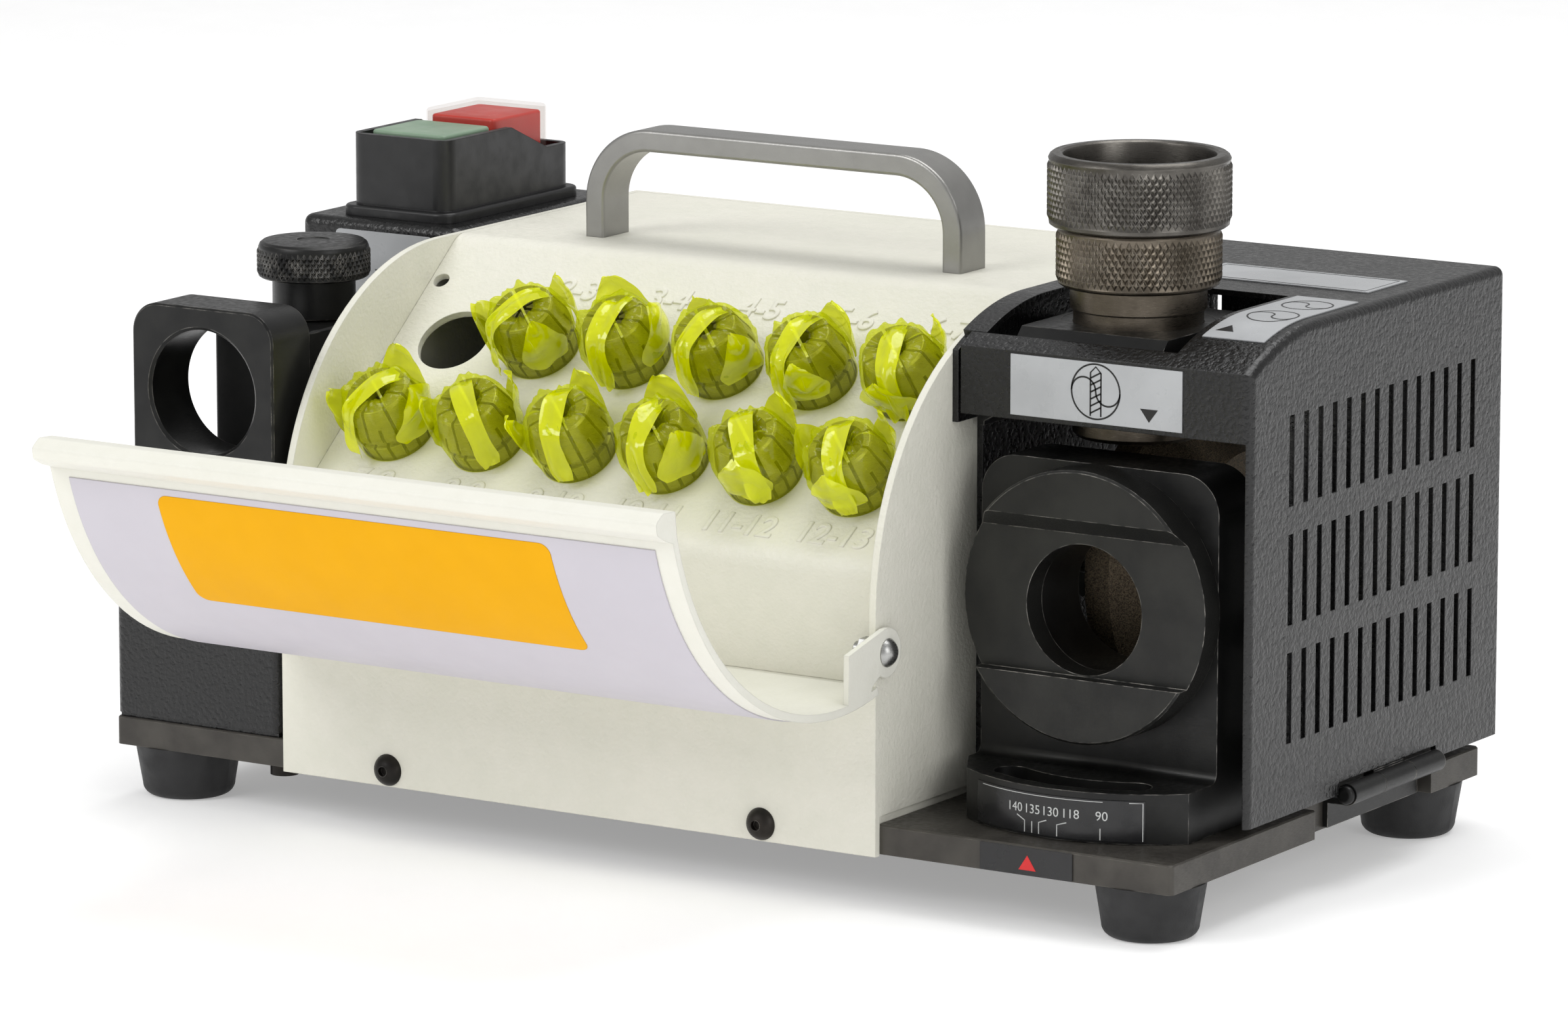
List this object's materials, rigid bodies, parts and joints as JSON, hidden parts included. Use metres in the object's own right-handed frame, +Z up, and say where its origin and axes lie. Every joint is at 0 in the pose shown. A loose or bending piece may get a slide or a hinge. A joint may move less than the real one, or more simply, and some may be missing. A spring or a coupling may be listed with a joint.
{
  "type": "drill bit sharpener",
  "caption": "Bench drill bit sharpener: grinding port that swivels, upright chuck, hinged guard, tilt-down front lid over a tray of collets, push-button switch, carrying handle.",
  "frame": {"origin": "middle of the base plate footprint, on the floor under the feet", "axes": "+Z up, +X to the right seen from the front, -Y towards the user"},
  "size_m": [0.3263, 0.2755, 0.1845],
  "materials": {
    "plate_paint": "satin dark grey-brown paint",
    "foot_rubber": "moulded black rubber",
    "black_fastener": "black oxide steel",
    "white_paint": "warm white textured powder coat",
    "black_coat": "black textured powder coat",
    "black_machined": "blackened machined steel",
    "bright_steel": "ground steel",
    "tool_steel": "brownish hardened steel",
    "satin_aluminium": "satin silver",
    "lilac_label": "printed film label",
    "grey_label": "printed film label",
    "scale_film": "dark film with pale marks",
    "black_plastic": "moulded black plastic",
    "green_plastic": "muted green plastic",
    "red_plastic": "red plastic",
    "clear_plastic": "clear plastic",
    "motor_iron": "painted iron",
    "winding": "varnished copper and laminations",
    "wheel_grit": "brown-grey grit on steel"
  },
  "bodies": {
    "base": {"base_plate": "plate_paint", "rubber_feet": "foot_rubber", "foot_screws": "black_fastener", "main_housing": "white_paint", "collet_tray": "white_paint", "panel_screws": "black_fastener", "lid_pivot_screws": "bright_steel", "carry_handle": "satin_aluminium", "handle_screws": "black_fastener", "left_case": "black_coat", "setting_block": "black_machined", "stop_post": "black_machined", "switch_box": "black_coat", "switch_hood": "black_plastic", "contact_block": "black_plastic", "cable_gland": "black_plastic", "dial_stickers": "grey_label", "motor_frame": "motor_iron", "motor_stator": "winding", "end_shields": "motor_iron", "motor_bearings": "bright_steel", "wheel_bulkhead": "black_coat", "top_port_shelf": "black_machined", "hinge_fixed_leaf": "bright_steel", "hinge_pin": "bright_steel", "swivel_studs": "black_fastener"},
    "lid": {"front_lid": "white_paint", "lid_label": "lilac_label"},
    "cover": {"wheel_cover": "black_coat", "hinge_moving_leaf": "bright_steel", "cover_labels": "grey_label"},
    "port": {"swivel_port": "black_machined", "port_disc": "black_machined", "angle_scale": "scale_film"},
    "top_port": {"top_port_plate": "black_machined", "top_port_bush": "tool_steel"},
    "chuck": {"chuck_body": "tool_steel", "chuck_collet": "bright_steel"},
    "chuck_ring": {"chuck_nut": "tool_steel"},
    "rotor": {"rotor_shaft": "bright_steel", "rotor_core": "motor_iron", "cooling_fan": "black_plastic", "grinding_wheel": "wheel_grit", "wheel_nut": "bright_steel"},
    "start_button": {"green_button": "green_plastic"},
    "stop_button": {"red_button": "red_plastic", "red_button_cover": "clear_plastic"},
    "depth_knob": {"stop_knob": "black_machined"},
    "collet_02_03_body": {"collet_02_03": "bright_steel"},
    "collet_03_04_body": {"collet_03_04": "bright_steel"},
    "collet_04_05_body": {"collet_04_05": "bright_steel"},
    "collet_05_06_body": {"collet_05_06": "bright_steel"},
    "collet_06_07_body": {"collet_06_07": "bright_steel"},
    "collet_07_08_body": {"collet_07_08": "bright_steel"},
    "collet_08_09_body": {"collet_08_09": "bright_steel"},
    "collet_09_10_body": {"collet_09_10": "bright_steel"},
    "collet_10_11_body": {"collet_10_11": "bright_steel"},
    "collet_11_12_body": {"collet_11_12": "bright_steel"},
    "collet_12_13_body": {"collet_12_13": "bright_steel"}
  },
  "joints": [
    {"name": "lid_swing", "type": "hinge", "parent": "base", "child": "lid", "pos_m": [0, -0.0797, 0.0653], "axis": [1, 0, 0], "range_deg": [-102, 0]},
    {"name": "cover_swing", "type": "hinge", "parent": "base", "child": "cover", "pos_m": [0.163, 0.02675, 0.0237], "axis": [0, 1, 0], "range_deg": [0, 95]},
    {"name": "port_swivel", "type": "hinge", "parent": "base", "child": "port", "pos_m": [0.119, -0.022, 0.028], "axis": [0, 0, 1], "range_deg": [-16, 8]},
    {"name": "top_port_slide", "type": "slide", "parent": "base", "child": "top_port", "axis": [1, 0, 0], "range_m": [-0.004, 0.004]},
    {"name": "chuck_lift", "type": "slide", "parent": "top_port", "child": "chuck", "axis": [0, 0, 1], "range_m": [0, 0.07]},
    {"name": "chuck_ring_turn", "type": "hinge", "parent": "chuck", "child": "chuck_ring", "pos_m": [0.1105, -0.0125, 0.175], "axis": [0, 0, 1], "continuous": true},
    {"name": "rotor_spin", "type": "hinge", "parent": "base", "child": "rotor", "pos_m": [0, 0.022, 0.0755], "axis": [1, 0, 0], "continuous": true},
    {"name": "start_press", "type": "slide", "parent": "base", "child": "start_button", "axis": [0, 0, -1], "range_m": [0, 0.003], "stiffness_N_per_m": 400},
    {"name": "stop_press", "type": "slide", "parent": "base", "child": "stop_button", "axis": [0, 0, -1], "range_m": [0, 0.003], "stiffness_N_per_m": 400},
    {"name": "depth_knob_turn", "type": "hinge", "parent": "base", "child": "depth_knob", "pos_m": [-0.1305, -0.03, 0.139], "axis": [0, 0, 1], "range_deg": [-150, 150]},
    {"name": "collet_02_03_lift", "type": "slide", "parent": "base", "child": "collet_02_03_body", "axis": [0, -0.6293, 0.7771], "range_m": [0, 0.05]},
    {"name": "collet_03_04_lift", "type": "slide", "parent": "base", "child": "collet_03_04_body", "axis": [0, -0.6293, 0.7771], "range_m": [0, 0.05]},
    {"name": "collet_04_05_lift", "type": "slide", "parent": "base", "child": "collet_04_05_body", "axis": [0, -0.6293, 0.7771], "range_m": [0, 0.05]},
    {"name": "collet_05_06_lift", "type": "slide", "parent": "base", "child": "collet_05_06_body", "axis": [0, -0.6293, 0.7771], "range_m": [0, 0.05]},
    {"name": "collet_06_07_lift", "type": "slide", "parent": "base", "child": "collet_06_07_body", "axis": [0, -0.6293, 0.7771], "range_m": [0, 0.05]},
    {"name": "collet_07_08_lift", "type": "slide", "parent": "base", "child": "collet_07_08_body", "axis": [0, -0.6293, 0.7771], "range_m": [0, 0.05]},
    {"name": "collet_08_09_lift", "type": "slide", "parent": "base", "child": "collet_08_09_body", "axis": [0, -0.6293, 0.7771], "range_m": [0, 0.05]},
    {"name": "collet_09_10_lift", "type": "slide", "parent": "base", "child": "collet_09_10_body", "axis": [0, -0.6293, 0.7771], "range_m": [0, 0.05]},
    {"name": "collet_10_11_lift", "type": "slide", "parent": "base", "child": "collet_10_11_body", "axis": [0, -0.6293, 0.7771], "range_m": [0, 0.05]},
    {"name": "collet_11_12_lift", "type": "slide", "parent": "base", "child": "collet_11_12_body", "axis": [0, -0.6293, 0.7771], "range_m": [0, 0.05]},
    {"name": "collet_12_13_lift", "type": "slide", "parent": "base", "child": "collet_12_13_body", "axis": [0, -0.6293, 0.7771], "range_m": [0, 0.05]}
  ]
}
